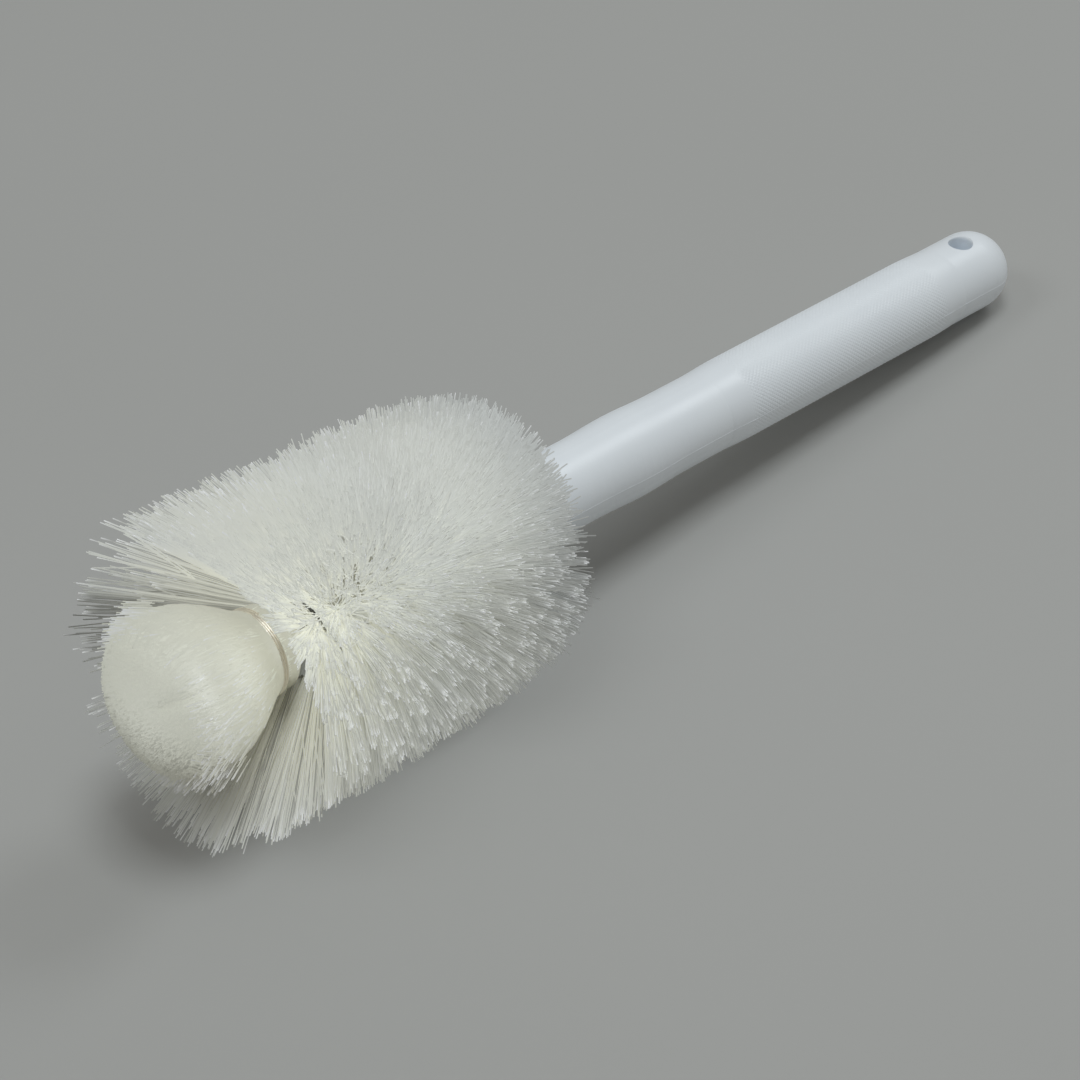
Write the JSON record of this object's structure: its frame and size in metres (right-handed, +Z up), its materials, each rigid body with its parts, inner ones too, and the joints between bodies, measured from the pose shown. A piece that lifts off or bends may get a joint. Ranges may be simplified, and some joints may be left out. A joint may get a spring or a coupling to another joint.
{
  "type": "bottle brush",
  "caption": "Bottle brush: straight white handle with a hang hole and knurled grip, flared nylon bristle head on a twisted wire stem, and a wire-bound tuft at the tip.",
  "frame": {"origin": "on the surface that the brush lies on, under the middle of its bounding box", "axes": "+X along the brush towards the handle's round end, +Z up"},
  "size_m": [0.2816, 0.0748, 0.0766],
  "materials": {
    "handle_plastic": "satin moulded white plastic with a slightly cool tone",
    "stem_steel": "bright galvanised wire",
    "nylon_bristle": "translucent warm white nylon filaments with glinting tips",
    "nylon_tuft": "translucent warm white nylon filaments, tightly bundled",
    "binding_metal": "fine bright wire with a warm tone"
  },
  "bodies": {
    "root": {"handle": "handle_plastic", "stem_wire": "stem_steel", "bristle_fill": "nylon_bristle", "tip_tuft": "nylon_tuft", "binding_wire": "binding_metal"}
  },
  "joints": []
}
